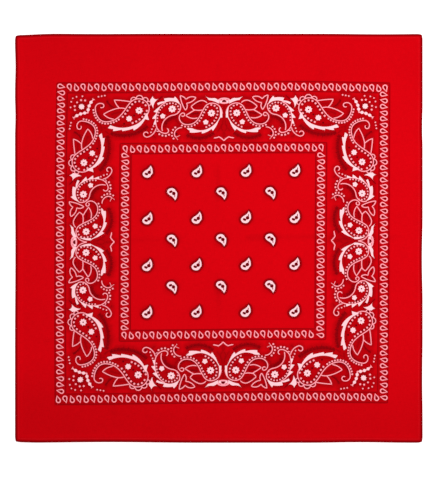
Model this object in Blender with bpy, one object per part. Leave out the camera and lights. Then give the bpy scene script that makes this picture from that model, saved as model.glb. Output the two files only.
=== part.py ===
"""Bandana: a square cotton kerchief lying face up on a flat surface, with narrow hems turned under.

+X runs to the square's right edge, +Y to its top edge and +Z up. The origin is the middle of the
underside, on the surface that the cloth lies on. Units are metres.

Every point starts as (u, v), its place on the true flat square. plan() moves it to where the laid
cloth really lies, so the panel and the hems under it share their edges, corners and clearances.
"""

import math
from collections import namedtuple

import bmesh
import bpy

MM = 0.001

# The cut square, hemmed
WIDTH = 550.0 * MM
LENGTH = 552.0 * MM
LAYER = 1.0 * MM  # the wall of one layer of cloth
SEAM_GAP = 0.3 * MM

# The turned-under hem, measured in from the finished edge
LIP = 1.1 * MM  # the cloth's edge, where it comes down to the surface
HEM_OUTER = 1.7 * MM
HEM_INNER = 6.9 * MM
HEM_FALL = 13.0 * MM  # where the panel is down on the surface again
HEM_UNDER = LAYER + SEAM_GAP  # the panel's underside, over the hem
HEM_FACE = HEM_UNDER + LAYER
EDGE_DROP = 0.7 * MM  # how far the face comes down at the very edge
LIP_DROP = 0.07 * MM  # and over the lip's inner face

# The laid square's corners and edges
CORNER_REACH = 8.0 * MM
CORNER_PULL = 0.55  # 0 keeps the corner square, 1 makes it a quarter circle
EDGE_REACH = 60.0 * MM  # how far in a dip in an edge is felt

# The ruled grid that the cloth is made on
WIDEST_CELL = 20.0 * MM
FOLD_LINES = tuple(x * MM for x in (-10.0, -4.5, 0.0, 4.5, 10.0))
FOLD_END = 28.0 * MM  # how gently a fold dies away at its ends
FOLD_UNEVENNESS = 0.2  # the share of a fold's height that comes and goes along it

# Places of the folds that the cloth was packed in: its middle and its quarters
QUARTER_FOLDS = tuple(share * WIDTH for share in (-0.25, 0.0, 0.25))

Section = namedtuple("Section", "inset under face")
HEM_SECTION = (
    Section(0.0, 0.0, HEM_FACE - EDGE_DROP),
    Section(LIP, 0.0, HEM_FACE - LIP_DROP),
    Section(LIP + SEAM_GAP, HEM_UNDER, HEM_FACE),
    Section(HEM_INNER + SEAM_GAP, HEM_UNDER, HEM_FACE),
    Section(HEM_FALL, 0.0, LAYER),
)

# A fold is a soft ridge. It runs along X or Y at a place on the other axis, and drifts to one side.
Fold = namedtuple("Fold", "runs place start end height half_width drift")
FOLDS = tuple(
    Fold(runs, *(value * MM for value in sizes))
    for runs, *sizes in (
        # runs, place, start, end, height, half_width, drift
        ("x", 1.0, 22, 258, 0.9, 9.0, 1.5),
        ("x", 0.0, -258, -30, 0.5, 10.0, -1.5),
        ("x", 136.5, -258, -120, 0.6, 9.0, 1.0),
        ("x", 137.0, 20, 258, 0.35, 10.0, -1.5),
        ("x", -138.5, -258, -75, 0.55, 10.0, 1.5),
        ("x", -137.0, 60, 258, 0.4, 9.0, 1.0),
        ("y", -1.5, 18, 120, 0.6, 9.0, 1.0),
        ("y", 0.0, 170, 258, 0.4, 10.0, -1.0),
        ("y", -1.5, -150, -30, 0.65, 9.0, 1.5),
        ("y", -139.0, -258, -170, 0.7, 10.0, -3.0),
        ("y", -138.0, 40, 240, 0.35, 9.0, 1.0),
        ("y", 138.0, 110, 258, 0.45, 10.0, 1.5),
        ("y", 137.0, -250, -90, 0.35, 9.0, -1.0),
    )
)

# A swell is a low rounded hill where the cloth stands off the surface.
Swell = namedtuple("Swell", "u v half_u half_v height")
SWELLS = tuple(
    Swell(*(value * MM for value in sizes))
    for sizes in (
        # u, v, half_u, half_v, height
        (-50, -234, 24, 34, 0.8),
        (38, -232, 26, 34, 0.8),
        (222, 244, 36, 16, 0.8),
        (-183, 238, 30, 22, 0.5),
        (-104, 236, 34, 24, 0.6),
        (64, 237, 26, 22, 0.5),
        (98, 236, 24, 22, 0.5),
        (242, 75, 22, 46, 0.6),
        (240, -85, 24, 38, 0.6),
        (-240, -160, 24, 44, 0.5),
        (-236, 60, 22, 40, 0.4),
    )
)

# A dip is a stretch of one edge that lies in from its straight line.
Dip = namedtuple("Dip", "side along half_length depth")
DIPS = tuple(
    Dip(side, *(value * MM for value in sizes))
    for side, *sizes in (
        # side, along, half_length, depth
        ("left", 232, 34, 0.7),
        ("left", 164, 28, 0.6),
        ("left", -20, 130, 0.5),
        ("right", 150, 32, 0.6),
        ("right", -28, 60, 0.9),
        ("right", -190, 60, 0.5),
        ("top", -276, 56, 1.8),
        ("top", -160, 70, 0.3),
        ("top", 220, 90, 0.6),
        ("bottom", -150, 125, 0.9),
        ("bottom", -276, 34, 0.8),
        ("bottom", 190, 70, 0.7),
    )
)


def smooth(t):
    """0 below 0, 1 above 1, and an even S between them."""
    t = min(max(t, 0.0), 1.0)
    return t * t * (3.0 - 2.0 * t)


def hump(t):
    """1 at 0, falling to 0 at -1 and 1 with no corner."""
    return 0.5 * (1.0 + math.cos(math.pi * t)) if abs(t) < 1.0 else 0.0


def inset(u, v):
    """How far a point of the square lies in from its nearest edge."""
    return min(WIDTH / 2 - abs(u), LENGTH / 2 - abs(v))


def rounded(u, v):
    """A point of the square, with the last of each corner pulled in towards a quarter circle."""
    across = max(0.0, abs(u) - (WIDTH / 2 - CORNER_REACH)) / CORNER_REACH
    along = max(0.0, abs(v) - (LENGTH / 2 - CORNER_REACH)) / CORNER_REACH
    pull_u = CORNER_REACH * across * (1.0 - math.sqrt(1.0 - CORNER_PULL * along**2 / 2))
    pull_v = CORNER_REACH * along * (1.0 - math.sqrt(1.0 - CORNER_PULL * across**2 / 2))
    return u - math.copysign(pull_u, u), v - math.copysign(pull_v, v)


def depth_of_dips(side, along):
    """How far an edge lies in from its straight line."""
    return sum(
        dip.depth * hump((along - dip.along) / dip.half_length)
        for dip in DIPS
        if dip.side == side
    )


def plan(u, v):
    """Where a point of the flat square lies, seen from above."""
    x, y = rounded(u, v)
    near_u = smooth(1.0 - (WIDTH / 2 - abs(u)) / EDGE_REACH)
    near_v = smooth(1.0 - (LENGTH / 2 - abs(v)) / EDGE_REACH)
    x += near_u * (-depth_of_dips("right", v) if u > 0 else depth_of_dips("left", v))
    y += near_v * (-depth_of_dips("top", u) if v > 0 else depth_of_dips("bottom", u))
    return x, y


def fold_height(fold, u, v):
    along, across = (u, v) if fold.runs == "x" else (v, u)
    share = (along - fold.start) / (fold.end - fold.start)
    middle = fold.place + fold.drift * math.sin(math.pi * share)
    ends = smooth((along - fold.start) / FOLD_END) * smooth((fold.end - along) / FOLD_END)
    uneven = 1.0 - FOLD_UNEVENNESS * (1.0 - math.cos(3.0 * math.pi * share))
    return fold.height * uneven * ends * hump((across - middle) / fold.half_width)


def relief(u, v):
    """How far the laid cloth stands off the surface, apart from the lift that its hems give it."""
    folds = max(fold_height(fold, u, v) for fold in FOLDS)
    swells = sum(
        swell.height * hump(math.hypot((u - swell.u) / swell.half_u, (v - swell.v) / swell.half_v))
        for swell in SWELLS
    )
    held_down = smooth((inset(u, v) - HEM_FALL) / FOLD_END)
    return (folds + swells) * held_down


def section_height(name, distance):
    """The height of HEM_SECTION's under or face at this distance from the edge."""
    for outer, inner in zip(HEM_SECTION, HEM_SECTION[1:]):
        if distance <= inner.inset:
            share = max(0.0, distance - outer.inset) / (inner.inset - outer.inset)
            low, high = getattr(outer, name), getattr(inner, name)
            return low + share * (high - low)
    return getattr(HEM_SECTION[-1], name)


def panel_under(u, v):
    return section_height("under", inset(u, v)) + relief(u, v)


def panel_face(u, v):
    return section_height("face", inset(u, v)) + relief(u, v)


def hem_under(u, v):
    return 0.0


def hem_face(u, v):
    return LAYER


def ruled(span):
    """The places of the cloth's grid lines along one side: at the hem, round each fold, and even between."""
    marks = {place + offset for place in QUARTER_FOLDS for offset in FOLD_LINES}
    for row in HEM_SECTION:
        marks |= {row.inset - span / 2, span / 2 - row.inset}
    marks = sorted(marks)
    lines = marks[:1]
    for low, high in zip(marks, marks[1:]):
        steps = math.ceil((high - low) / WIDEST_CELL)
        lines += [low + (high - low) * step / steps for step in range(1, steps + 1)]
    return lines


def between(lines, low, high):
    """The grid lines inside a stretch, with its two ends."""
    return [low, *(line for line in lines if low + LIP < line < high - LIP), high]


def slab(name, us, vs, under, face, material):
    """A closed solid on the grid of lines us by vs, between the heights under(u, v) and face(u, v)."""
    columns, rows = len(us) - 1, len(vs) - 1
    mesh = bpy.data.meshes.new(name)
    grid = bmesh.new()
    bmesh.ops.create_grid(grid, x_segments=columns, y_segments=rows, size=1.0)
    raised = bmesh.ops.extrude_face_region(grid, geom=grid.faces[:])
    upper = {item for item in raised["geom"] if isinstance(item, bmesh.types.BMVert)}
    for vertex in grid.verts:
        u = us[round((vertex.co.x + 1.0) / 2.0 * columns)]
        v = vs[round((vertex.co.y + 1.0) / 2.0 * rows)]
        height = face if vertex in upper else under
        vertex.co = (*plan(u, v), height(u, v))
    bmesh.ops.recalc_face_normals(grid, faces=grid.faces)
    grid.to_mesh(mesh)
    grid.free()
    mesh.materials.append(material)
    mesh.shade_smooth()
    mesh.set_sharp_from_angle(angle=math.radians(40.0))
    return bpy.data.objects.new(name, mesh)


def cotton(name, red, green, blue):
    material = bpy.data.materials.new(name)
    material.use_nodes = True
    shader = material.node_tree.nodes["Principled BSDF"]
    shader.inputs["Base Color"].default_value = (red, green, blue, 1.0)
    shader.inputs["Roughness"].default_value = 0.9
    shader.inputs["Metallic"].default_value = 0.0
    return material


def panel():
    red_cotton = cotton("printed_cotton", 0.62, 0.0, 0.006)
    return slab("cloth", ruled(WIDTH), ruled(LENGTH), panel_under, panel_face, red_cotton)


def hems():
    """The four turned-under strips: the side ones full length, the others between them."""
    shaded_cotton = cotton("hem_cotton", 0.45, 0.0, 0.004)
    outer_u, inner_u = WIDTH / 2 - HEM_OUTER, WIDTH / 2 - HEM_INNER
    outer_v, inner_v = LENGTH / 2 - HEM_OUTER, LENGTH / 2 - HEM_INNER
    upright = between(ruled(LENGTH), -outer_v, outer_v)
    level = between(ruled(WIDTH), SEAM_GAP - inner_u, inner_u - SEAM_GAP)
    grids = {
        "hem_left": ([-outer_u, -inner_u], upright),
        "hem_right": ([inner_u, outer_u], upright),
        "hem_top": (level, [inner_v, outer_v]),
        "hem_bottom": (level, [-outer_v, -inner_v]),
    }
    return [
        slab(name, us, vs, hem_under, hem_face, shaded_cotton)
        for name, (us, vs) in grids.items()
    ]


def main():
    for old in list(bpy.data.objects):
        bpy.data.objects.remove(old)
    bandana = bpy.data.collections.new("bandana")
    bpy.context.scene.collection.children.link(bandana)
    for piece in (panel(), *hems()):
        bandana.objects.link(piece)


main()
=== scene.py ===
import math
import random
from bisect import bisect_right
from collections import defaultdict, namedtuple

import bpy
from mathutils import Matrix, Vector
from mathutils.geometry import delaunay_2d_cdt


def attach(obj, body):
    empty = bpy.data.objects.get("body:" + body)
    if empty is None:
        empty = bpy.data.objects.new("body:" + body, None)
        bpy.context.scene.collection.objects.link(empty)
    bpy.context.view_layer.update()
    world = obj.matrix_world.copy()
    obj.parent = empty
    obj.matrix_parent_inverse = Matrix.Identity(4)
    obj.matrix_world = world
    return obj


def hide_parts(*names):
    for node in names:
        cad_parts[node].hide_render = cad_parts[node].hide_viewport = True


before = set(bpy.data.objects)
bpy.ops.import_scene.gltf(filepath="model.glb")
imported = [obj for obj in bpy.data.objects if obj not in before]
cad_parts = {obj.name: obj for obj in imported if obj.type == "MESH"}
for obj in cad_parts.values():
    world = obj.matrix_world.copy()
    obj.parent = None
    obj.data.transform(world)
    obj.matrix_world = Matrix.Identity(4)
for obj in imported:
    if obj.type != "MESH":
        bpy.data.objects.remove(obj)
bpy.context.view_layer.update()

MM = 0.001

# ----- the cloth's form, in millimetres
# u runs across the laid square and v along it, from its middle. An inset is the distance in from the edge.
WIDTH, LENGTH = 550.0, 552.0
PANEL = 0.4  # wall of one layer, with its nap
LIP = 0.65  # radius of the fold along the edge
LIP_INSET = 1.1  # how far in the fold lies on the surface
HEM_OUTER, HEM_INNER = 1.5, 6.9
HEM_UNDER = 0.9  # underside of the panel where it lies on its hem
HEM_FALL = 11.0  # where the panel has come down from the hem
HEM_GAP = 0.2  # between the end of a crosswise hem and the hem beside it
STITCH_INSET = 5.0
PUCKER, PUCKER_REACH = 0.07, 4.5
GROOVE, GROOVE_HALF = 0.14, 1.1  # the furrow that the stitching lies in
CORNER_REACH, CORNER_PULL = 8.0, 0.55
EDGE_REACH = 60.0  # how far in the edge's waves are felt
FOLD_FROM = 13.0  # the inset at which folds and swells start to rise
FOLD_END = 28.0  # how far they take to reach their height
FOLD_UNEVENNESS = 0.2

# The panel's grid: its lines near the edge, by their insets, and how far apart the others are.
INSETS = (0, 0.06, 0.24, 0.65, 1.1, 1.5, 2.3, 3.3, 4.2, 4.7, 5, 5.3, 5.8, 6.6, 7.2, 8, 9, 10, 11, 13)
CELL = 3.0

Fold = namedtuple("Fold", "runs place start end height half_width drift")
Swell = namedtuple("Swell", "u v half_u half_v height")
Dip = namedtuple("Dip", "side along half_length depth")

# Soft ridges left by folding. "x" runs across the cloth at v = place, and "y" along it at u = place.
FOLDS = (
    Fold("x", 1, 22, 258, 0.9, 9, 1.5),
    Fold("x", 0, -258, -30, 0.5, 10, -1.5),
    Fold("x", 136.5, -258, -120, 0.6, 9, 1),
    Fold("x", 137, 20, 258, 0.35, 10, -1.5),
    Fold("x", -138.5, -258, -75, 0.55, 10, 1.5),
    Fold("x", -137, 60, 258, 0.4, 9, 1),
    Fold("y", -1.5, 18, 120, 0.6, 9, 1),
    Fold("y", 0, 170, 258, 0.4, 10, -1),
    Fold("y", -1.5, -150, -30, 0.65, 9, 1.5),
    Fold("y", -139, -258, -170, 0.7, 10, -3),
    Fold("y", -138, 40, 240, 0.35, 9, 1),
    Fold("y", 138, 110, 258, 0.45, 10, 1.5),
    Fold("y", 137, -250, -90, 0.35, 9, -1),
)
# Low swells where the cloth doesn't lie flat.
SWELLS = (
    Swell(-50, -234, 24, 34, 0.8),
    Swell(38, -232, 26, 34, 0.8),
    Swell(222, 244, 36, 16, 0.8),
    Swell(-183, 238, 30, 22, 0.5),
    Swell(-104, 236, 34, 24, 0.6),
    Swell(64, 237, 26, 22, 0.5),
    Swell(98, 236, 24, 22, 0.5),
    Swell(242, 75, 22, 46, 0.6),
    Swell(240, -85, 24, 38, 0.6),
    Swell(-240, -160, 24, 44, 0.5),
    Swell(-236, 60, 22, 40, 0.4),
)
# Shallow waves where the edge doesn't lie straight.
DIPS = (
    Dip("left", 232, 34, 0.7),
    Dip("left", 164, 28, 0.6),
    Dip("left", -20, 130, 0.5),
    Dip("right", 150, 32, 0.6),
    Dip("right", -28, 60, 0.9),
    Dip("right", -190, 60, 0.5),
    Dip("top", -276, 56, 1.8),
    Dip("top", -160, 70, 0.3),
    Dip("top", 220, 90, 0.6),
    Dip("bottom", -150, 125, 0.9),
    Dip("bottom", -276, 34, 0.8),
    Dip("bottom", 190, 70, 0.7),
)


def smooth(t):
    """0 up to t = 0, 1 from t = 1 on, and an S curve between them."""
    t = min(max(t, 0.0), 1.0)
    return t * t * (3 - 2 * t)


def hump(t):
    """1 at t = 0, and down to 0 at t = -1 and t = 1."""
    return 0.5 * (1 + math.cos(math.pi * t)) if abs(t) < 1 else 0.0


def inset(u, v):
    return min(WIDTH / 2 - abs(u), LENGTH / 2 - abs(v))


def rounded(u, v):
    """The point u, v drawn in where it is in a rounded corner."""
    across = max(0.0, abs(u) - (WIDTH / 2 - CORNER_REACH)) / CORNER_REACH
    along = max(0.0, abs(v) - (LENGTH / 2 - CORNER_REACH)) / CORNER_REACH
    pull_u = CORNER_REACH * across * (1 - math.sqrt(1 - CORNER_PULL * along**2 / 2))
    pull_v = CORNER_REACH * along * (1 - math.sqrt(1 - CORNER_PULL * across**2 / 2))
    return u - math.copysign(pull_u, u), v - math.copysign(pull_v, v)


def depth_of_dips(side, along):
    return sum(dip.depth * hump((along - dip.along) / dip.half_length) for dip in DIPS if dip.side == side)


def plan(u, v):
    """Where the point u, v of the square lies on the surface."""
    x, y = rounded(u, v)
    near_u = smooth(1 - (WIDTH / 2 - abs(u)) / EDGE_REACH)
    near_v = smooth(1 - (LENGTH / 2 - abs(v)) / EDGE_REACH)
    x += near_u * (-depth_of_dips("right", v) if u > 0 else depth_of_dips("left", v))
    y += near_v * (-depth_of_dips("top", u) if v > 0 else depth_of_dips("bottom", u))
    return x, y


def fold_height(fold, u, v):
    along, across = (u, v) if fold.runs == "x" else (v, u)
    share = (along - fold.start) / (fold.end - fold.start)
    if not 0 < share < 1:
        return 0.0
    middle = fold.place + fold.drift * math.sin(math.pi * share)
    ends = smooth((along - fold.start) / FOLD_END) * smooth((fold.end - along) / FOLD_END)
    uneven = 1 - FOLD_UNEVENNESS * (1 - math.cos(3 * math.pi * share))
    return fold.height * uneven * ends * hump((across - middle) / fold.half_width)


def relief(u, v):
    """How far the folds and swells lift the cloth."""
    raised = max(fold_height(fold, u, v) for fold in FOLDS)
    for swell in SWELLS:
        raised += swell.height * hump(math.hypot((u - swell.u) / swell.half_u, (v - swell.v) / swell.half_v))
    return raised * smooth((inset(u, v) - FOLD_FROM) / FOLD_END)


def puckers(u, v):
    """Ripples that the stitching draws up, and the groove that it lies in."""
    aside = inset(u, v) - STITCH_INSET
    along = v if WIDTH / 2 - abs(u) < LENGTH / 2 - abs(v) else u
    ripple = math.sin(along / 1.9 + 2.2 * math.sin(along / 17.0)) * (0.6 + 0.4 * math.sin(along / 31.0))
    return PUCKER * ripple * hump(aside / PUCKER_REACH) - GROOVE * hump(aside / GROOVE_HALF)


def half_lip(s):
    """Half the height of the fold along the edge."""
    return math.sqrt(max(0.0, LIP**2 - (LIP - s) ** 2))


def lifted(u, v):
    """How high the hem, the folds and the swells hold the underside of the panel."""
    on_hem = 1 - smooth((inset(u, v) - HEM_INNER) / (HEM_FALL - HEM_INNER))
    return HEM_UNDER * on_hem + relief(u, v)


def top_height(u, v):
    s = inset(u, v)
    return LIP + half_lip(s) if s < LIP else PANEL + lifted(u, v) + puckers(u, v)


def underside_height(u, v):
    s = inset(u, v)
    if s < LIP:
        return LIP - half_lip(s)
    return lifted(u, v) if s > LIP_INSET else 0.0


def grid_lines(half):
    """The places of the panel's grid lines from -half to half."""
    reach = half - INSETS[-1]
    count = round(2 * reach / CELL)
    edge = [half - s for s in INSETS[:-1]]
    return [-p for p in edge] + [reach * (2 * k / count - 1) for k in range(count + 1)] + edge[::-1]


U_LINES, V_LINES = grid_lines(WIDTH / 2), grid_lines(LENGTH / 2)
TOP = [[top_height(u, v) for v in V_LINES] for u in U_LINES]


def square_of(x, y):
    """The point u, v of the square that lies at x, y."""
    u, v = x, y
    for _ in range(3):
        laid = plan(u, v)
        u, v = u + x - laid[0], v + y - laid[1]
    return u, v


def on_face(x, y):
    """Height of the modelled face at x, y, and its slopes."""
    u, v = square_of(x, y)
    i = min(max(bisect_right(U_LINES, u) - 1, 0), len(U_LINES) - 2)
    j = min(max(bisect_right(V_LINES, v) - 1, 0), len(V_LINES) - 2)
    du, dv = U_LINES[i + 1] - U_LINES[i], V_LINES[j + 1] - V_LINES[j]
    s, t = (u - U_LINES[i]) / du, (v - V_LINES[j]) / dv
    a, b, c, d = TOP[i][j], TOP[i + 1][j], TOP[i][j + 1], TOP[i + 1][j + 1]
    height = (a * (1 - s) + b * s) * (1 - t) + (c * (1 - s) + d * s) * t
    return height, ((b - a) * (1 - t) + (d - c) * t) / du, ((c - a) * (1 - s) + (d - b) * s) / dv


# ----- the print, drawn in millimetres
# Each motif is drawn for the left half of the top border: a runs from its middle, and b in from the frame.
PRINT_HALF = 225.0  # from the middle to the outer frame line
INNER_HALF = 0.615 * PRINT_HALF
STROKE, HALO = 1.35, 0.7  # width of a white line, and of the dark edge on each side of it
DRAWN_IN = 0.55  # width of a stroke's ends, as a share of its own
STEP = 1.3  # between the points of a curve
DOT = 1.3  # radius
GAP = 2.8  # width of the dark ground behind a row of dots
NOTCH = 0.13  # half the depth of the notches between petals, as a share of the radius

Shape = namedtuple("Shape", "ink outline")
# The inks, each printed over those before it: SHADE is a half tone of DARK, and FINE is DARK over white.
SHADE, DARK, LINE, WHITE, FINE = range(5)


def at(centre, distance, degrees):
    turn = math.radians(degrees)
    return centre[0] + distance * math.cos(turn), centre[1] + distance * math.sin(turn)


def part_way(start, end, share):
    return tuple(p + share * (q - p) for p, q in zip(start, end))


def arc(start, end, rise=0.0):
    """Points along an arc. One that runs along +a bulges to +b where its rise is positive."""
    chord = math.dist(start, end)
    along = ((end[0] - start[0]) / chord, (end[1] - start[1]) / chord)
    middle = ((start[0] + end[0]) / 2, (start[1] + end[1]) / 2)
    half_turn = 2 * math.atan2(2 * rise, chord)
    length = chord + 2.7 * rise * rise / chord
    count = max(1, round(length / STEP))
    if abs(rise) < 0.05:
        return [part_way(start, end, k / count) for k in range(count + 1)]
    radius = (chord**2 / 4 + rise**2) / (2 * rise)
    points = []
    for k in range(count + 1):
        turn = half_turn * (2 * k / count - 1)
        ahead, aside = radius * math.sin(turn), radius * math.cos(turn) - radius + rise
        points.append((
            middle[0] + ahead * along[0] - aside * along[1], middle[1] + ahead * along[1] + aside * along[0],
        ))
    return points


def bends(start, heading, *arcs):
    """A line of arcs that run on smoothly. Each has a radius and the degrees that it turns by."""
    points, angle = [start], math.radians(heading)
    for radius, degrees in arcs:
        turn = math.radians(degrees)
        side = math.copysign(radius, turn)
        centre = (points[-1][0] - side * math.sin(angle), points[-1][1] + side * math.cos(angle))
        count = max(2, round(abs(radius * turn) / STEP))
        for k in range(1, count + 1):
            now = angle + turn * k / count
            points.append((centre[0] + side * math.sin(now), centre[1] - side * math.cos(now)))
        angle += turn
    return points


def normals(line):
    """The unit vectors square to a line, to +b where it runs along +a."""
    found = []
    for i in range(len(line)):
        (a0, b0), (a1, b1) = line[max(i - 1, 0)], line[min(i + 1, len(line) - 1)]
        length = math.hypot(a1 - a0, b1 - b0) or 1.0
        found.append(((b0 - b1) / length, (a1 - a0) / length))
    return found


def beside(line, distance):
    """The line moved sideways."""
    return [(a + distance * na, b + distance * nb) for (a, b), (na, nb) in zip(line, normals(line))]


def spaced(line, pitch, start=0.0, count=1000):
    """Points at even steps along a line, each with its normal."""
    found, due = [], start
    for p, q, square in zip(line, line[1:], normals(line)):
        length = math.dist(p, q)
        while due <= length and length > 0 and len(found) < count:
            found.append((part_way(p, q, due / length), square))
            due += pitch
        due -= length
    return found


def stretch(line, start, end):
    """The part of a line between two distances along it."""
    return [point for point, _ in spaced(line, STEP, start, round((end - start) / STEP) + 1)]


def area(outline):
    """The area of an outline, below 0 where it runs clockwise."""
    return 0.5 * sum(p[0] * q[1] - q[0] * p[1] for p, q in zip(outline, outline[1:] + outline[:1]))


def anticlockwise(outline):
    return outline if area(outline) > 0 else outline[::-1]


def hull(points):
    """The convex outline round a few points, anticlockwise."""
    ordered = sorted(set(points))
    chains = []
    for run in (ordered, ordered[::-1]):
        chain = []
        for point in run:
            while len(chain) > 1 and area([*chain[-2:], point]) <= 1e-6:
                chain.pop()
            chain.append(point)
        chains += chain[:-1]
    return chains


def ribbon(ink, line, width):
    """A stroke of even width with drawn-in ends, as a chain of simple pieces."""
    last = len(line) - 1
    halves = [width / 2 * (DRAWN_IN if i in (0, last) else 1.0) for i in range(last + 1)]
    squares = normals(line)
    left = [(a + half * na, b + half * nb) for (a, b), (na, nb), half in zip(line, squares, halves)]
    right = [(a - half * na, b - half * nb) for (a, b), (na, nb), half in zip(line, squares, halves)]
    return [Shape(ink, hull([right[i], right[i + 1], left[i + 1], left[i]])) for i in range(last)]


def inked(line, width=STROKE):
    """A white line with its dark edge."""
    return ribbon(SHADE, line, width + 2 * HALO) + ribbon(LINE, line, width)


def ring(centre, radius, sides=8):
    return [at(centre, radius, 360 * k / sides) for k in range(sides)]


def dot(centre, radius=DOT):
    return [Shape(SHADE, ring(centre, radius + HALO)), Shape(LINE, ring(centre, radius))]


def dots(line, pitch, radius=DOT, start=0.0, count=1000, gap=GAP):
    """A row of dots along a line, on dark ground."""
    row = [point for point, _ in spaced(line, pitch, start, count)]
    ground = ribbon(SHADE, row, gap) + ribbon(DARK, row, gap / 2) if gap else []
    return ground + [shape for point in row for shape in dot(point, radius)]


def hatch(line, reach, ink=DARK, pitch=1.2):
    """Dark strokes that run out from a line and thin away, of uneven length."""
    root, tip = 0.44, 0.27  # half a stroke's width at each end
    found = []
    for k, ((a, b), (na, nb)) in enumerate(spaced(line, pitch, 0.4)):
        length = reach * (0.78 + 0.22 * math.sin(2.3 * k) * math.cos(1.1 * k + 0.5))
        found.append(Shape(ink, anticlockwise([
            (a + out * na + aside * nb, b + out * nb - aside * na)
            for out, aside in ((0, -root), (0, root), (length, tip), (length, -tip))
        ])))
    return found


def shaded(ink, *zones):
    """Hatching along arcs. Each zone has its reach, and its arc's start, end and rise."""
    strokes = []
    for reach, start, end, rise in zones:
        strokes += hatch(arc(start, end, rise), reach, ink)
    return strokes


def spots(ink, radius, *centres):
    return [Shape(ink, ring(centre, radius)) for centre in centres]


def flower(centre, radius, petals, turn=0.0, eye=0.0):
    """A solid round flower, with a dark dot in its middle where eye is its radius."""
    count = 4 * petals
    reaches = [1 - NOTCH * (1 - math.cos(math.tau * k / 4)) for k in range(count)]

    def rim(size):
        return [at(centre, size * reach, turn + 360 * k / count) for k, reach in enumerate(reaches)]

    shapes = [Shape(SHADE, rim(radius + HALO)), Shape(WHITE, rim(radius))]
    return shapes + (spots(FINE, eye, centre) if eye else [])


def closed(*corners):
    """An outline of arcs. Each corner has its a and b, and the rise of the arc that leaves it."""
    outline = []
    for (*start, rise), (*end, _) in zip(corners, corners[1:] + corners[:1]):
        outline += arc(start, end, rise)[:-1]
    return anticlockwise(outline)


def plume(*corners):
    """A solid white shape with arcs for sides and a dark edge."""
    outline = closed(*corners)
    return ribbon(SHADE, outline + outline[:2], 2 * HALO) + [Shape(WHITE, outline)]


def outlined(*corners):
    """A white line of arcs that meet at corners, given as in closed."""
    line = [corners[0][:2]]
    for (*start, rise), (*end, _) in zip(corners, corners[1:]):
        line += arc(start, end, rise)[1:]
    return inked(line)


SCALLOP_WALL = 1.9  # between the top of a scallop and the dark shape in it


def scallops(line, start, bumps):
    """Outlined bumps that stand side by side on a line. Each has its width and its height."""
    shapes = []
    for width, height in bumps:
        (root, _), (end, _) = spaced(line, width, start, 2)
        shapes += inked(arc(root, end, -height), 1.3)
        shapes.append(Shape(DARK, anticlockwise(arc(root, end, SCALLOP_WALL - height))))
        start += width
    return shapes


# ----- the border's motifs
def corner_flower():
    """The corner's flower with its two rings of dots, and the string of beads beside it."""
    heart = (-190.9, 34.3)
    shapes = hatch([at(heart, 5.6, turn) for turn in range(-160, -30, 6)], 5.6, SHADE, 1)
    shapes += [Shape(SHADE, ring(heart, 6.9, 16))] + flower(heart, 4.2, 9)
    inner_ring, outer_ring = ((-135, 8.6), (-94, 9.4), (-62, 10.1)), ((-135, 16.9), (-116, 15.7), (-86, 14.9))
    for places, radius in ((inner_ring, 1.4), (outer_ring, 1.15)):
        for turn, distance in places:
            shapes += dot(at(heart, distance, turn), radius)
    string = arc((-174.9, 23.8), (-182, 43.4), 2.2)
    shapes += hatch(beside(string, 1.6), 2.6, SHADE) + inked(string, 1.9)
    for bead, _ in spaced(string, 5.6, 5.4, 3):
        shapes += spots(SHADE, 2.9, bead) + spots(WHITE, 2.25, bead)
    shapes += inked([(-176.4, 22.4), (-175, 23.8), (-173, 24.6)], 1.2)
    return shapes + dots(arc((-168.2, 20.2), (-159.4, 18.6)), 4.3, 1.15, gap=0)


def large_paisley():
    """The border's largest paisley, with its curled tail on the left and scallops on its head."""
    body = bends(
        (-165.5, 35.2), 40, (2.9, -190), (6.8, -122), (26, -31), (13, -60), (26, -45), (60, -12), (60, 10),
        (14.2, 158), (20, 16),
    )
    under = arc((-150.6, 70.2), (-103, 60.6), 6.8)
    shapes = hatch(stretch(body, 22, 62), -5.5, SHADE) + hatch(stretch(body, 30, 58), -3)
    shapes += shaded(DARK, (2.6, (-156.4, 25.6), (-146.6, 35.4), 1))
    shapes += shaded(
        SHADE, (3.6, (-155, 25), (-149, 35), 1), (3.6, (-141, 29.6), (-128.5, 29.4), 0.6),
        (3.4, (-151.6, 44.6), (-136.6, 41), -0.8), (2.2, (-145, 59.4), (-126, 59.4), 0.8),
        (3.4, (-175.4, 55), (-158, 63.4), 2.5), (3, (-157, 69), (-151.8, 83), -1.4),
    )
    shapes += hatch(beside(under, -2), 8.6, SHADE, 1) + hatch(beside(under, 0.6), 5.2, DARK, 1.4)
    shapes += spots(DARK, 1.3, (-163.4, 33.2), (-151.2, 60.2), (-133.4, 58.6), (-120.1, 47), (-107.6, 43.4))
    shapes += dots(beside(stretch(body, 26, 69), 2.7), 3.9, 1.35)
    shapes += dots(beside(stretch(body, 73, 129), 3.5), 5.4, 1.45)
    shapes += dots(bends((-103.2, 40.6), 116, (34, 44)), 5.2, 1.45) + inked(body)
    shapes += plume(
        (-154.9, 64.6, 0.3), (-147.8, 65.9, 0), (-148.2, 68.9, 0.3), (-136.3, 66.8, 0),
        (-135.9, 69, 0.4), (-121.2, 65.4, 0), (-120.6, 68.2, 1.9), (-105.6, 52.4, 0),
        (-100.1, 53.6, -0.4), (-102.7, 42.8, 0.2), (-107.6, 51.4, -1.7), (-124, 62.4, -2.8),
        (-151.6, 60.5, 0.2),
    )
    shapes += flower((-113.5, 40), 5.1, 8, 12, 1.05) + flower((-126.8, 51.5), 4.3, 7, 10)
    shapes += outlined((-124.6, 27.6, 0.4), (-146.8, 25, 1), (-139.6, 36.6, 0))
    shapes += outlined((-132, 37.4, 1), (-144.6, 37.4, 0.8), (-161, 45, 1.5), (-147.4, 52, 0))
    return shapes + scallops(body, 97, ((7.2, 4.2), (8.8, 5.4), (7, 5), (5.2, 4.6)))


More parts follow.
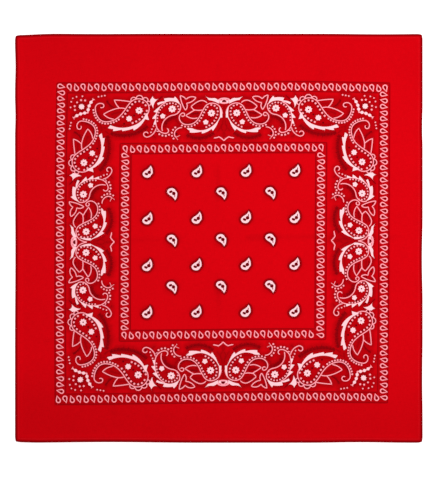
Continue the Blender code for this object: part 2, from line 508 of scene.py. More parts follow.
def tulip():
    """The solid bud that stands between the large paisley and the upright one."""
    shapes = shaded(SHADE, (1.6, (-97.6, 19.8), (-94.2, 16.6), -0.4))
    shapes += shaded(
        DARK, (2.3, (-87, 26.6), (-92.2, 38.6), -1.6), (2.2, (-88, 24.4), (-82.6, 19.6), -0.4),
        (1.8, (-99, 28), (-95.8, 37), 0.6),
    )
    return shapes + plume((-95.7, 19.8, 2.3), (-88, 24, 2.2), (-94.5, 37, -0.6), (-99, 25, 0.4))


def thorn(line, start, length, reach):
    """A thorn that grows out along a line and ends square to it."""
    (root, _), (end, (na, nb)) = spaced(line, length, start, 2)
    return plume((*root, 0.3), (end[0] + reach * na, end[1] + reach * nb, 0), (*end, 0))


def upright_paisley():
    """The paisley with thorns down its back, whose tail hangs and curls twice."""
    right = bends((-59, 31), 66, (11.4, 106), (17.5, -99))
    left = bends((-77.7, 29.2), 163, (15, -40), (34, -48), (13.7, -65), (5.6, -40), (3.4, -130))
    curl = bends((-90.6, 65.2), 100, (16, 60), (4.9, 84), (3.1, 190))
    row = bends((-61, 42.6), -70, (9.4, -108), (17.5, -58), (27, -42))
    shapes = hatch(stretch(right, 14, 46), -8, SHADE, 1)
    shapes += hatch(beside(stretch(right, 18, 40), -2), -4.6, DARK, 1.6)
    shapes += hatch(stretch(row, 20, 54), 3, SHADE)
    shapes += shaded(DARK, (1.8, (-89.6, 69.6), (-86, 73.2), 0.4))
    shapes += shaded(
        SHADE, (2.6, (-80, 21), (-66.6, 20.2), -0.8), (2.4, (-84.2, 52), (-81.4, 55), 0.2),
        (3, (-94.8, 73), (-90.6, 78), 0.5), (2.4, (-71, 68.6), (-70.2, 76), 0.4),
    )
    shapes += spots(DARK, 1.5, (-103.4, 74), (-85.9, 45.4)) + spots(SHADE, 1.3, (-75.7, 42.4))
    shapes += dots(row, 4.15, 1.2) + dots(arc((-94.2, 62.4), (-97.4, 71), 0.4), 4.6, 1.1, gap=0)
    shapes += dots(beside(stretch(left, 49, 69), 3.6), 4.6, 1.4, 0, 4)
    shapes += inked(right) + inked(left) + inked(curl)
    shapes += inked([(-90.4, 69), (-88.4, 70), (-85.9, 69.6)], 1.2) + spots(DARK, 0.9, (-89.2, 67))
    shapes += plume(
        (-80.5, 23.5, -0.7), (-67.4, 23.2, 0), (-65.8, 20.7, -0.9), (-58.8, 32.6, 2.7),
        (-76.6, 28.1, 0.4), (-88.3, 32.6, 0), (-89.6, 30, -0.8), (-79, 27.4, 0),
    )
    for start, length, reach in ((8, 11.4, 4.7), (19.6, 8.6, 4.7), (28.6, 7.4, 3.6)):
        shapes += thorn(left, start, length, reach)
    return shapes + flower((-69.4, 38.2), 5.3, 8, 6, 1.05) + flower((-82, 48.3), 3.8, 5, 50)


def tendril():
    """A hooked line with a forked end and dots along its outer side."""
    line = bends((-56, 64.8), 183, (9.8, -72), (7, -64))
    shapes = spots(DARK, 1.6, (-63.4, 73.6)) + hatch(beside(line, 1.6), 4, SHADE)
    shapes += dots(beside(line, 3.5), 4.4, 1.3, 9.8, 5, 0)
    return shapes + inked(line) + inked([(-59, 76), line[-1], (-61.4, 82)], 1.2)


def sprig():
    """Three outlined leaves that grow from one place."""
    corners = ((-58.9, 19.5), (-51, 25), (-37.8, 22.4), (-50.3, 30.2), (-51.7, 40.2))
    shapes = shaded(
        SHADE, (2.8, (-47, 35), (-35, 24.6), 1.2), (1.6, (-35, 23.8), (-27.6, 21.6), 0.2),
        (2.8, (-59.4, 24.6), (-58, 38.2), -1), (2, (-47.8, 37), (-44.6, 39.6), 0.2),
    )
    shapes += spots(DARK, 1.2, (-55.2, 23.8), (-52.7, 32.6), (-52.4, 36), (-45, 25.4))
    for start, end, rise in zip(corners, corners[1:] + corners[:1], (-1.1, -2.4, -1.9, -1.6, -1.2)):
        shapes += inked(arc(start, end, rise))
    return shapes


def round_paisley():
    """The paisley beside the middle of the side, with two outlined leaves in its bend."""
    body = bends(
        (-57, 47.8), 55, (2.4, -265), (7.4, -77), (11, -66), (16, -63), (50, -11), (70, 9), (10.4, 46),
        (13, 78), (22, 20),
    )
    under = arc((-48.6, 73.4), (-15, 71.4), 5.6)
    shapes = hatch(stretch(body, 16, 56), -5, SHADE) + hatch(stretch(body, 22, 50), -2.6)
    shapes += shaded(DARK, (2.2, (-39.6, 31.6), (-29.6, 29.4), -0.8), (2.4, (-43.6, 44.4), (-34, 43), 0.3))
    shapes += shaded(
        SHADE, (4.2, (-41, 33.4), (-28, 32.6), 0), (5, (-45, 44.6), (-33.6, 43.8), 0),
        (3, (-62.2, 46), (-56.6, 60.4), 3.4), (2.4, (-56.6, 60.6), (-51.6, 63.4), 0.6),
        (3, (-36.6, 63.4), (-26, 63.4), 0.6),
    )
    shapes += hatch(beside(under, -1.6), 7.6, SHADE, 1) + hatch(beside(under, 0.6), 4.6, DARK, 1.4)
    shapes += spots(DARK, 1.1, (-18.3, 51.6))
    shapes += dots(beside(stretch(body, 29, 79), 2.9), 4.4, 1.3)
    shapes += dots(bends((-17.2, 33), 2, (9, 90), (25, 68)), 4.7) + inked(body)
    shapes += plume(
        (-49.8, 65.7, 0.5), (-45.8, 68.8, 0), (-45.6, 71.8, 0.8), (-30, 70.6, 0),
        (-29.4, 73.4, 1), (-16.8, 67, 0), (-14.8, 69.8, 0.7), (-7.6, 56.2, 0),
        (-4.8, 50.8, 0), (-6.2, 51, -3.6), (-28, 68.8, -1.1), (-42.3, 65.9, 0.2),
    )
    shapes += outlined((-23, 30.2, 1.7), (-33, 27.2, 0.7), (-44.4, 35.4, 0))
    shapes += outlined((-44.4, 35.4, 0), (-40.8, 39.6, 0.7), (-28.6, 40.1, 0))
    shapes += outlined((-38.5, 39.8, 0.3), (-51, 47.7, 2.2), (-35.4, 51.2, 0))
    return shapes + flower((-16.9, 44.7), 5.2, 8, 8, 1.05) + flower((-24.4, 57.4), 3.8, 5, -90)


def side_middle():
    """What stands astride the middle of the side; the other half is its mirror image."""
    turns = map(math.radians, range(90, 271, 15))
    oval = [(8.6 * math.cos(turn), 27.3 + 4.4 * math.sin(turn)) for turn in turns]
    shapes = shaded(
        SHADE, (2.2, (0.4, 33), (0.4, 52.5), 0), (1.6, (-0.6, 54), (-8, 71), -1.4),
        (1.5, (-0.4, 60), (-0.4, 70), 2.4), (1.7, (0.3, 72), (0.3, 79), 0.9),
    )
    shapes += plume(
        (-25, 21, 1.2), (-13.5, 23.4, -0.6), (-8.2, 26.4, 0), (-6.6, 31.4, 0),
        (-12.2, 28.6, 0.3), (-20.6, 26.2, 0.3),
    )
    shapes += plume((-6.6, 34.6, -1.3), (-2.4, 51, 0), (-5.8, 51.2, 0.8))
    shapes += ribbon(SHADE, oval, 1.9) + [Shape(LINE, anticlockwise(oval))]
    shapes += spots(WHITE, 1.7, (-4.4, 28.7)) + spots(WHITE, 1.1, (-7.2, 27.4))
    shapes.append(Shape(FINE, [(0, 25.7), (0, 29.4), (-3.2, 29.3), (-2.1, 26.8)]))
    shapes += ribbon(FINE, [(-5.3, 26.3), (-2.8, 25.5)], 1.1)
    shapes += ribbon(FINE, [(-5.9, 27.2), (-5.8, 29.8)], 0.5)
    zigzag = arc((-13.5, 80), (-6.6, 78.4), 0.3) + arc((-6.6, 78.4), (0, 84), -0.5)[1:]
    return shapes + inked(zigzag, 1.5)


# The upright sides have the same motifs, each moved a little: a + shift, and b * squeeze + drop.
Motif = namedtuple("Motif", "draw shift squeeze drop")
MOTIFS = (
    Motif(corner_flower, 0, 1, 0),
    Motif(large_paisley, 1.8, 0.955, 0),
    Motif(tulip, 1.8, 0.955, -0.1),
    Motif(upright_paisley, 2.3, 0.96, 1.2),
    Motif(tendril, 2, 0.96, 0.8),
    Motif(sprig, 2, 0.96, 0.1),
    Motif(round_paisley, 2.2, 0.96, -1),
    Motif(side_middle, 0, 0.955, -0.4),
)


def half_band(upright):
    """All that is printed between the frames on one half of a side of the border."""
    shapes = []
    for motif in MOTIFS:
        for shape in motif.draw():
            if upright:
                moved = [(a + motif.shift, b * motif.squeeze + motif.drop) for a, b in shape.outline]
                shape = Shape(shape.ink, moved)
            shapes.append(shape)
    return shapes


# ----- drops
Row = namedtuple("Row", "form count first last turned_first", defaults=[False])

# The drops stand in rows between the lines of each frame, every second one upside down.
DROP_ROWS = (
    Row("upright", 47, (-207.5, 218.3), (218.3, 216.9)),
    Row("lying", 50, (-218.6, 219.6), (-217.8, -206.3)),
    Row("upright", 47, (-220.6, -217.5), (208.8, -217.1), True),
    Row("lying", 50, (216.4, 208.1), (219.1, -217.3)),
    Row("upright", 29, (-131.4, 130.5), (131, 131.1)),
    Row("lying", 29, (-131.4, 121.3), (-131.3, -120.2)),
    Row("upright", 28, (-132, -130.5), (118.3, -131)),
    Row("lying", 30, (131, 120.3), (130.9, -132.3)),
)
FRAME_WIDTH = 14.6
FRAME_LINES = (PRINT_HALF - 0.5, PRINT_HALF - FRAME_WIDTH, INNER_HALF, INNER_HALF - FRAME_WIDTH)


def drop(lying=False):
    """An outlined drop, here in x and y: a round head and two straight sides that meet at its tip."""
    head, radius, tip = ((-1.9, 0.4), 2.65, (4.8, -1.1)) if lying else ((-0.3, 1.6), 2.75, (1.7, -4.6))
    lean = math.degrees(math.atan2(tip[1] - head[1], tip[0] - head[0]))
    bare = math.degrees(math.acos(radius / math.dist(head, tip)))
    rim = [tip] + [at(head, radius, lean + bare + (360 - 2 * bare) * k / 8) for k in range(9)]
    eye = spots(DARK, 0.95, at(head, 0.4, lean))
    return [Shape(SHADE, rim)] + eye + ribbon(LINE, rim + rim[:2], 1.5)


def small_paisley():
    """The middle field's drop, in x and y: its head low on the left and its tip up to the right."""
    body = closed(
        (3.5, 8.9, 0.6), (-2, 3, -0.7), (-7.3, -2.2, -1.4), (-1.9, -7.3, -1.4),
        (4.3, -3.8, -0.9), (6.3, 1.5, -0.7),
    )
    rim = body + body[:2]
    shapes = ribbon(SHADE, rim, 6.4) + ribbon(DARK, rim, 1.9) + [Shape(WHITE, body)]
    seeds = ribbon(FINE, arc((-4.5, -2), (-0.2, -3.7), 0.4), 3.2) + spots(FINE, 2.5, (1.8, -0.2))
    link = ribbon(FINE, [(1.2, -1.2), (-0.8, -2.8)], 1.6)
    stalk = ribbon(FINE, arc((3, 1.4), (3.2, 5)), 1.2)
    return shapes + seeds + link + stalk


FRAME_STROKE, FRAME_STEP = 1.7, 3.0


def frame_line(half):
    """One dark line of a square frame, about the middle of the print."""
    shapes = []
    corners = ((-half, half), (-half, -half), (half, -half), (half, half))
    count = round(2 * half / FRAME_STEP)
    for start, end in zip(corners, corners[1:] + corners[:1]):
        shapes += ribbon(SHADE, [part_way(start, end, k / count) for k in range(count + 1)], FRAME_STROKE)
    return shapes


# ----- where the print lies
def printed_at(p, q):
    """The place on the cloth of the print's own point p, q, where 1 is the outer frame line.

    The first powers are its spread and lean, and the others how the cloth has drawn in since."""
    x = 6.1 + 227.4 * p + 0.8 * q - 1.84 * p * p + 0.53 * q * q + 0.17 * p * q
    x += -1.81 * p**3 + 0.49 * p * p * q - 0.71 * p * q * q
    y = -3.34 + 216.2 * q + 0.54 * p - 1.94 * q * q - 1.64 * p * p - 0.59 * p * q
    y += 0.67 * q**3 + 0.65 * math.sin(math.pi * p)
    return x, y


def laid_at(a, b):
    """The same for a point a, b in the print's own millimetres."""
    return printed_at(a / PRINT_HALF, b / PRINT_HALF)


def print_point(x, y):
    """The print's own point p, q for a place on the cloth, found step by step."""
    middle, half = (6.0, -4.0), (227.0, 216.5)
    p, q = (x - middle[0]) / half[0], (y - middle[1]) / half[1]
    for _ in range(4):
        there = printed_at(p, q)
        p, q = p + (x - there[0]) / half[0], q + (y - there[1]) / half[1]
    return p, q


# ----- broad tone of the ground, with painted shade
BACK_TONE = 0.94  # the underside, where the dye has come through
STRIP = 15.0  # width of the darker strip in each frame
NEAR = 6.0  # how far from the border's motifs their dark ground reaches


def within(value, low, high, soft=1.5):
    """1 between low and high and 0 outside them, with soft ends."""
    return smooth((value - low) / soft + 0.5) * smooth((high - value) / soft + 0.5)


def printed_marks(upright):
    """The points of all that is printed on a half side of the border, in squares NEAR wide."""
    marks = defaultdict(list)
    for shape in half_band(upright):
        for a, b in shape.outline:
            marks[math.floor(a / NEAR), math.floor(b / NEAR)].append((a, b))
    return marks


MARKS = (printed_marks(False), printed_marks(True))


def nearness(a, b, marks):
    """1 on the border's motifs and 0 from NEAR away from them."""
    i, j = math.floor(a / NEAR), math.floor(b / NEAR)
    around = [point for k in (i - 1, i, i + 1) for n in (j - 1, j, j + 1) for point in marks.get((k, n), ())]
    return smooth(1 - min((math.dist((a, b), point) for point in around), default=NEAR) / NEAR)


# The middles of the paisleys in the field, and whether each stands the other way up.
PAISLEYS = [
    (-101.0 + 32.85 * column, 97.7 - 32.8 * row + (2.2 if row % 2 else 0.0), -1 if row % 2 else 1)
    for row in range(7) for column in range(row % 2, 7, 2)
]


def ground_tone(u, v):
    """How light the red is: 1 is the plain ground, and each thing that darkens it takes its share, the
    print's darker grounds and also painted shade.
    """
    p, q = print_point(*plan(u, v))
    out = PRINT_HALF * max(abs(p), abs(q))
    s = inset(u, v)
    # Painted shade: a dark line just inside the folded edge, standing in for the shade on the rolled hem.
    edge = smooth(s / 0.6) * (1 - smooth((s - 1.2) / 3.4))
    # Painted shade along the fold creases, darkest where a fold stands highest.
    crease_shade = min(1.0, max(fold_height(fold, u, v) for fold in FOLDS) / 0.6) ** 3
    tone = 1 - 0.62 * edge
    tone *= 1 - 0.1 * crease_shade
    tone *= 1 - 0.25 * within(out, PRINT_HALF - STRIP, PRINT_HALF)
    tone *= 1 - 0.25 * within(out, INNER_HALF - STRIP, INNER_HALF)
    tone *= 1 - 0.06 * within(out, INNER_HALF + 17, PRINT_HALF - 19, 6.0)
    upright = abs(p) > abs(q)
    tone *= 1 - 0.28 * nearness(-PRINT_HALF * min(abs(p), abs(q)), PRINT_HALF - out, MARKS[upright])
    if out < INNER_HALF - STRIP:
        nearest = min(math.dist((PRINT_HALF * p, PRINT_HALF * q), middle[:2]) for middle in PAISLEYS)
        tone *= 1 - 0.15 * smooth((14 - nearest) / 6)
    # Painted shade: the red is a little darker towards the top and more so towards the bottom, where the
    # light falls off.
    top_shade, bottom_shade = smooth((v - 150) / 100), smooth((-v - 150) / 100)
    return tone * (1 - 0.05 * top_shade - 0.1 * bottom_shade)


# ----- the print as triangles
Film = namedtuple("Film", "points faces inks lift")
LIFT, LINE_LIFT = 0.11, 0.09  # how far the print and its frame lines stand off the face
NET = 2.6  # spacing of the points that keep the triangles even
BIN = 4.0  # side of the squares in which shapes are looked up
MERGE = 0.002  # points closer than this are one
SLIVER = 2e-4  # triangles with a smaller area are left out
BAND_DEPTH, MARGIN = 90.0, 2.0  # how deep the border's drawing runs, and its guides beyond it


def covers(outline, a, b):
    """Whether the outline goes round the point a, b."""
    inside = False
    for (a0, b0), (a1, b1) in zip(outline, outline[1:] + outline[:1]):
        if (b0 > b) != (b1 > b) and a < a0 + (b - b0) / (b1 - b0) * (a1 - a0):
            inside = not inside
    return inside


def cut_up(shapes, guides=(), grid=NET, lift=LIFT):
    """Splits overlapping shapes into triangles, each in the ink that lies uppermost there."""
    points, edges, bins = [], [], defaultdict(list)
    for shape in sorted(shapes, key=lambda shape: -shape.ink):
        start, count = len(points), len(shape.outline)
        points += [Vector(point) for point in shape.outline]
        edges += [(start + k, start + (k + 1) % count) for k in range(count)]
        across, down = (
            range(math.floor(min(places) / BIN), math.floor(max(places) / BIN) + 1)
            for places in zip(*shape.outline)
        )
        for i in across:
            for j in down:
                bins[i, j].append(shape)
    for guide in guides:
        start = len(points)
        points += [Vector(point) for point in guide]
        edges += [(start + k, start + k + 1) for k in range(len(guide) - 1)]
    low, high = ([pick(places) for places in zip(*points)] for pick in (min, max))
    columns, rows = (int((end - start) / grid) + 1 for start, end in zip(low, high))
    points += [Vector((low[0] + grid * (i + 0.5 * (j % 2)), low[1] + grid * j))
               for j in range(rows) for i in range(columns)]
    found, _, triangles, _, _, _ = delaunay_2d_cdt(points, edges, [], 0, MERGE, False)
    kept, inks = [], []
    for triangle in triangles:
        corners = [found[k] for k in triangle]
        a, b = sum(corner.x for corner in corners) / 3, sum(corner.y for corner in corners) / 3
        near = bins.get((math.floor(a / BIN), math.floor(b / BIN)), ())
        ink = next((shape.ink for shape in near if covers(shape.outline, a, b)), None)
        if ink is not None and abs(area(corners)) > SLIVER:
            kept.append(tuple(triangle))
            inks.append(ink)
    return Film([tuple(point) for point in found], kept, inks, lift)


def lay(film, place):
    """The film moved to its place."""
    return film._replace(points=[place(*point) for point in film.points])


def without(film, beyond):
    """The film less the triangles whose middle is beyond a line."""
    kept = []
    for face, ink in zip(film.faces, film.inks):
        a, b = (sum(film.points[k][axis] for k in face) / 3 for axis in (0, 1))
        if not beyond(a, b):
            kept.append((face, ink))
    return film._replace(faces=[face for face, _ in kept], inks=[ink for _, ink in kept])


def printed_films():
    """Every part of the print, laid on the cloth in millimetres."""
    films = []
    diagonal = [(-PRINT_HALF - MARGIN, -MARGIN), (BAND_DEPTH - PRINT_HALF, BAND_DEPTH)]
    mirror = [(0, -MARGIN), (0, BAND_DEPTH + MARGIN)]
    across_half, upright_half = (
        without(cut_up(half_band(upright), (diagonal, mirror)), lambda a, b: b > a + PRINT_HALF or a > 0)
        for upright in (False, True)
    )
    for sign_x, sign_y in ((1, 1), (-1, 1), (1, -1), (-1, -1)):
        films.append(lay(
            across_half, lambda a, b: printed_at(sign_x * a / PRINT_HALF, sign_y * (1 - b / PRINT_HALF)),
        ))
    for sign_x, sign_y in ((-1, -1), (-1, 1), (1, -1), (1, 1)):
        films.append(lay(
            upright_half, lambda a, b: printed_at(sign_x * (1 - b / PRINT_HALF), sign_y * a / PRINT_HALF),
        ))
    for half_size in FRAME_LINES:
        films.append(lay(cut_up(frame_line(half_size), grid=4 * PRINT_HALF, lift=LINE_LIFT), laid_at))
    drops = {"upright": cut_up(drop()), "lying": cut_up(drop(lying=True))}
    for row in DROP_ROWS:
        for k in range(row.count):
            middle = laid_at(*part_way(row.first, row.last, k / (row.count - 1)))
            sign = -1 if (k % 2 == 0) == row.turned_first else 1
            films.append(lay(drops[row.form], lambda a, b: (middle[0] + sign * a, middle[1] + sign * b)))
    paisley = cut_up(small_paisley())
    for a, b, sign in PAISLEYS:
        middle = laid_at(a, b)
        films.append(lay(paisley, lambda a, b: (middle[0] + a, middle[1] + sign * b)))
    return films


# ----- meshes
MAP_SPAN = 0.56  # metres of cloth across a whole flat map
# Parts of a flat map: where each starts, and its share of the whole.
WHOLE_MAP, FACE_MAP, BACK_MAP = (0, 1), (0, 0.77), (0.78, 0.21)


def add_object(name, data):
    made = bpy.data.objects.new(name, data)
    bpy.context.scene.collection.objects.link(made)
    return made


def piece(name, points, faces, material, tilts=None):
    """A mesh object from points in millimetres."""
    mesh = bpy.data.meshes.new(name)
    mesh.from_pydata([tuple(MM * c for c in point) for point in points], [], faces)
    mesh.materials.append(material)
    mesh.shade_smooth()
    if tilts:
        mesh.normals_split_custom_set_from_vertices(tilts)
    made = add_object(name, mesh)
    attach(made, "root")
    return made


def mark(mesh, name, values, domain="POINT"):
    """A value for each point or face of the mesh, for its material to read."""
    mesh.attributes.new(name, "FLOAT", domain).data.foreach_set("value", values)


def unfold(mesh, face_map, back_map):
    """The mesh's flat map, with a part for what faces up and one for what faces down."""
    layer = mesh.uv_layers.new(name="OFBake")
    for face in mesh.polygons:
        start, share = face_map if face.normal.z > 0 else back_map
        for loop in face.loop_indices:
            x, y, _ = mesh.vertices[mesh.loops[loop].vertex_index].co
            layer.data[loop].uv = start + share * (x / MAP_SPAN + 0.5), share * (y / MAP_SPAN + 0.5)


def print_piece(name, films, strengths, material):
    """The parts of the films in these inks, as one thin layer on the cloth's face."""
    points, faces, values, tilts = [], [], [], []
    for film in films:
        where = {}
        for face, ink in zip(film.faces, film.inks):
            if ink not in strengths:
                continue
            for k in face:
                if k not in where:
                    where[k] = len(points)
                    x, y = film.points[k]
                    height, slope_u, slope_v = on_face(x, y)
                    points.append((x, y, height + film.lift))
                    tilts.append(Vector((-slope_u, -slope_v, 1.0)).normalized())
            corners = [film.points[k] for k in face]
            order = face if area(corners) > 0 else face[::-1]
            faces.append([where[k] for k in order])
            values.append(strengths[ink])
    made = piece(name, points, faces, material, tilts)
    mark(made.data, "strength", values, "FACE")
    unfold(made.data, WHOLE_MAP, WHOLE_MAP)
    return made


def cloth_panel(material):
    """A closed thin shell, whose face and underside meet at the folded edge."""
    columns, rows = len(U_LINES), len(V_LINES)
    points, tones, top = [], [], {}
    for i, u in enumerate(U_LINES):
        for j, v in enumerate(V_LINES):
            top[i, j] = len(points)
            points.append((*plan(u, v), TOP[i][j]))
            tones.append(ground_tone(u, v))
    under = dict(top)
    for i in range(1, columns - 1):
        for j in range(1, rows - 1):
            u, v = U_LINES[i], V_LINES[j]
            under[i, j] = len(points)
            points.append((*plan(u, v), underside_height(u, v)))
            tones.append(BACK_TONE)
    faces = []
    for i in range(columns - 1):
        for j in range(rows - 1):
            cell = ((i, j), (i + 1, j), (i + 1, j + 1), (i, j + 1))
            faces.append([top[crossing] for crossing in cell])
            faces.append([under[crossing] for crossing in cell[::-1]])
    made = piece("cloth_panel", points, faces, material)
    mark(made.data, "tone", tones)
    unfold(made.data, FACE_MAP, BACK_MAP)
    return made


# The section of a turned-under hem: how far in from the edge, and how high.
HEM_SECTION = (
    (1.5, 0.3), (1.5, 0.62), (1.7, 0.8), (2.2, 0.86), (4.0, 0.84), (5.0, 0.72), (5.8, 0.84), (6.5, 0.86),
    (6.85, 0.72), (6.95, 0.48), (6.85, 0.24), (6.5, 0.12), (5.6, 0.12), (5.0, 0.2), (4.2, 0.12), (1.9, 0.12),
)
HEM_STEP = 2.5


def half_sizes(turn):
    """Half the cloth across and along the edge that many quarter turns on."""
    return (LENGTH / 2, WIDTH / 2) if turn % 2 else (WIDTH / 2, LENGTH / 2)


def turned(across, along, turn):
    """A place beside the right edge, moved to the edge that many quarter turns on."""
    for _ in range(turn):
        across, along = -along, across
    return across, along


def tube_faces(start, rings, sides):
    """The faces of a closed tube whose points run ring by ring."""
    faces = []
    for k in range(rings - 1):
        a, b = start + k * sides, start + (k + 1) * sides
        for n in range(sides):
            m = (n + 1) % sides
            faces.append([a + n, a + m, b + m, b + n])
    faces.append([start + n for n in range(sides)][::-1])
    faces.append([start + (rings - 1) * sides + n for n in range(sides)])
    return faces


def hem_fold(name, turn, material):
    """One turned-under hem, drawn in a little between its stitches."""
    points = []
    half_across, half_along = half_sizes(turn)
    length = 2 * (half_along - (HEM_INNER + HEM_GAP if turn % 2 else HEM_OUTER))
    steps = round(length / HEM_STEP)
    for k in range(steps + 1):
        along = length * (k / steps - 0.5)
        for s, height in HEM_SECTION:
            drawn = 0.16 * math.sin(along / 7.3 + turn) * smooth((s - 3) / 4)
            ripple = 0.03 * math.sin(along / 2.1 + s) * (1 if 0.15 < height < 0.8 else 0)
            points.append((*plan(*turned(half_across - s + drawn, along, turn)), height + ripple))
    return piece(name, points, tube_faces(0, steps + 1, len(HEM_SECTION)), material)


STITCH = 2.75  # length
THREAD = 0.2  # radius
STITCH_DIP = 0.3  # how far a stitch's ends go into the cloth
FACE_RISE, BOBBIN_HEIGHT = 0.1, 0.2


def hem_stitching(material):
    """Lockstitch along each hem, on the face and again under the hem."""
    draw = random.Random(7)
    points, faces = [], []
    rings, sides = 5, 6

    def stitch(root, end, dip, height):
        start = len(points)
        (nu, nv), _ = normals([root, end])
        for k in range(rings):
            t = k / (rings - 1)
            thick = THREAD * (0.75 + 0.25 * math.sin(math.pi * t))
            u, v = part_way(root, end, t)
            level = height(u, v) - dip * (2 * t - 1) ** 2
            for n in range(sides):
                angle = math.tau * n / sides
                out = thick * math.cos(angle)
                points.append((*plan(u + out * nu, v + out * nv), level + thick * math.sin(angle)))
        faces.extend(tube_faces(start, rings, sides))

    for turn in range(4):
        half_across, half_along = half_sizes(turn)
        reach = half_along - STITCH_INSET
        count = round(2 * reach / STITCH)
        for k in range(count):
            ends = []
            for share in (0.06, 0.94):
                along = -reach + 2 * reach * (k + share) / count
                across = half_across - STITCH_INSET + 0.12 * (share - 0.5) + draw.uniform(-0.06, 0.06)
                ends.append(turned(across, along, turn))
            stitch(*ends, STITCH_DIP, lambda u, v: top_height(u, v) + FACE_RISE)
            stitch(*ends, -STITCH_DIP, lambda u, v: BOBBIN_HEIGHT)
    return piece("hem_stitching", points, faces, material)


# ----- materials
RED = (0.575, 0, 0.0032, 1)
HEM_RED = (0.53, 0, 0.003, 1)
THREAD_RED = (0.66, 0.012, 0.02, 1)
SOLID_WHITE = (0.93, 0.56, 0.6, 1)
LINE_WHITE = (0.95, 0.33, 0.38, 1)
SHADE_INK = (0.29, 0, 0.002, 1)
DARK_INK = (0.13, 0, 0.002, 1)
THREAD_PITCH = 0.42 * MM
SLUB_ALONG, SLUB_ACROSS = 110.0, 2300.0  # the slubs' scale along the threads and across them


def give(made, inputs):
    """Sets a node's inputs, each to a value or to another node's output."""
    for socket, value in inputs.items():
        if isinstance(value, bpy.types.NodeSocket):
            made.id_data.links.new(value, made.inputs[socket])
        else:
            made.inputs[socket].default_value = value


def node(tree, kind, inputs=(), **settings):
    made = tree.nodes.new("ShaderNode" + kind)
    for key, value in settings.items():
        setattr(made, key, value)
    give(made, dict(inputs))
    return made


def calc(tree, operation, *values):
    return node(tree, "Math", dict(enumerate(values)), operation=operation).outputs[0]


def noise(tree, place, scale):
    return node(tree, "TexNoise", {"Vector": place, "Scale": scale, "Detail": 2.0}).outputs["Fac"]


def dimmed(tree, colour, level):
    """The colour times a level of light."""
    inputs = {"Fac": 1.0, "Color1": colour, "Color2": level}
    return node(tree, "MixRGB", inputs, blend_type="MULTIPLY").outputs[0]


def weave(tree, place):
    """Height of a plain weave with threads that swell and thin along their run."""
    pitch = math.pi / 10 / THREAD_PITCH  # at scale 1 a wave texture's waves are pi / 10 apart
    warp = node(tree, "TexWave", {"Vector": place, "Scale": pitch}, bands_direction="X").outputs["Fac"]
    weft = node(tree, "TexWave", {"Vector": place, "Scale": pitch}, bands_direction="Y").outputs["Fac"]
    over = node(tree, "TexChecker", {"Vector": place, "Scale": 1 / THREAD_PITCH}).outputs["Fac"]
    return node(tree, "Mix", {0: over, 2: warp, 3: weft}).outputs[0]


def slubs(tree, place, squeeze):
    """Noise drawn out along the threads."""
    return noise(tree, node(tree, "Mapping", {"Vector": place, "Scale": squeeze}).outputs[0], 1.0)


def cotton(name, colour_of, relief_depth=0.05 * MM):
    """A matt woven cotton. colour_of builds the colour from the tree and the place on the object."""
    material = bpy.data.materials.new(name)
    material.use_nodes = True
    tree = material.node_tree
    shader = tree.nodes["Principled BSDF"]
    place = node(tree, "TexCoord").outputs["Object"]
    weft_slubs = slubs(tree, place, (SLUB_ALONG, SLUB_ACROSS, SLUB_ALONG))
    warp_slubs = slubs(tree, place, (SLUB_ACROSS, SLUB_ALONG, SLUB_ALONG))
    uneven = calc(tree, "ADD", weft_slubs, warp_slubs)
    height = calc(tree, "MULTIPLY_ADD", uneven, 0.7, weave(tree, place))
    bump = node(tree, "Bump", {"Height": height, "Distance": relief_depth, "Strength": 0.6})
    shade = calc(tree, "MULTIPLY_ADD", uneven, 0.24, 0.76)
    give(shader, {
        "Base Color": dimmed(tree, colour_of(tree, place), shade), "Normal": bump.outputs[0],
        "Roughness": 1.0, "Specular IOR Level": 0.03, "Sheen Weight": 0.01, "Sheen Roughness": 0.6,
    })
    return material


def dyed(tree, place):
    """The red ground, with its tone of print and painted shade, and the small unevenness of the dye."""
    tone = node(tree, "Attribute", attribute_name="tone").outputs["Fac"]
    blotched = calc(tree, "MULTIPLY_ADD", noise(tree, place, 16.0), 0.1, 0.95)
    speckled = calc(tree, "MULTIPLY_ADD", noise(tree, place, 260.0), 0.12, 0.94)
    return dimmed(tree, RED, calc(tree, "MULTIPLY", calc(tree, "MULTIPLY", blotched, speckled), tone))


def plain(colour):
    """One dye all over, a little uneven."""

    def build(tree, place):
        return dimmed(tree, colour, calc(tree, "MULTIPLY_ADD", noise(tree, place, 60.0), 0.14, 0.93))

    return build


def between(weaker, stronger):
    """The colour of an ink, from its weaker to its stronger state."""

    def build(tree, place):
        strength = node(tree, "Attribute", attribute_name="strength").outputs["Fac"]
        return node(tree, "MixRGB", {"Fac": strength, "Color1": weaker, "Color2": stronger}).outputs[0]

    return build


# ----- the pieces
cloth_cotton = cotton("printed_cotton", dyed)
hem_cotton = cotton("hem_cotton", plain(HEM_RED))
thread = cotton("sewing_thread", plain(THREAD_RED), 0.01 * MM)
white_ink = cotton("white_print", between(LINE_WHITE, SOLID_WHITE))
dark_ink = cotton("dark_print", between(SHADE_INK, DARK_INK))

panel = cloth_panel(cloth_cotton)
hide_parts("cloth")

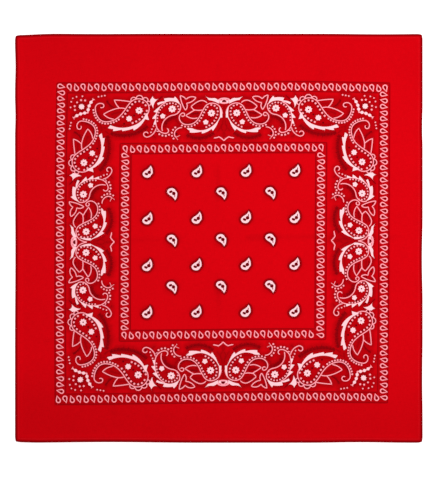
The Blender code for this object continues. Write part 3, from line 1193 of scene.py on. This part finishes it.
for turn, side in enumerate(("right", "top", "left", "bottom")):
    hem = hem_fold(f"hem_fold_{side}", turn, hem_cotton)
    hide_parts(f"hem_{side}")

stitching = hem_stitching(thread)

films = printed_films()
print_dark = print_piece("print_dark", films, {SHADE: 0.0, DARK: 1.0, FINE: 1.0}, dark_ink)
print_white = print_piece("print_white", films, {LINE: 0.0, WHITE: 1.0}, white_ink)

# ----- surface, light and camera
FLOOR_SIZE, FLOOR_LEVEL = 6.0, -0.02 * MM
FLOOR_COLOUR, FLOOR_GLOW = (0.9, 0.9, 0.9, 1), 0.3
LAMP_SIZE, LAMP_POWER, LAMP_PLACE = 0.5, 23.7, (0.27, 0.27, 1.53)
WHITE_LIGHT, ROOM_LIGHT = (1, 1, 1, 1), 0.34
VIEW_HEIGHT, CAMERA_PLACE, SENSOR = 0.6479, (0.0002, -0.0024, 2.6), 36.0

bpy.ops.mesh.primitive_plane_add(size=FLOOR_SIZE, location=(0, 0, FLOOR_LEVEL))
floor = bpy.context.object
floor.name = "floor"
pale = bpy.data.materials.new("pale_surface")
pale.use_nodes = True
give(pale.node_tree.nodes["Principled BSDF"], {
    "Base Color": FLOOR_COLOUR, "Roughness": 1.0, "Specular IOR Level": 0.0,
    "Emission Color": WHITE_LIGHT, "Emission Strength": FLOOR_GLOW,
})
floor.data.materials.append(pale)

lamp = bpy.data.lights.new("soft_light", "AREA")
lamp.shape = "DISK"
lamp.size = LAMP_SIZE
lamp.energy = LAMP_POWER
soft_light = add_object("soft_light", lamp)
soft_light.location = LAMP_PLACE
soft_light.visible_camera = False

world = bpy.data.worlds.new("pale_room")
world.use_nodes = True
give(world.node_tree.nodes["Background"], {"Color": WHITE_LIGHT, "Strength": ROOM_LIGHT})
bpy.context.scene.world = world

lens = bpy.data.cameras.new("camera")
lens.sensor_fit = "VERTICAL"
lens.sensor_height = SENSOR
lens.lens = SENSOR * CAMERA_PLACE[2] / VIEW_HEIGHT
camera = add_object("camera", lens)
camera.location = CAMERA_PLACE
bpy.context.scene.camera = camera
bpy.context.scene.view_settings.view_transform = "Standard"
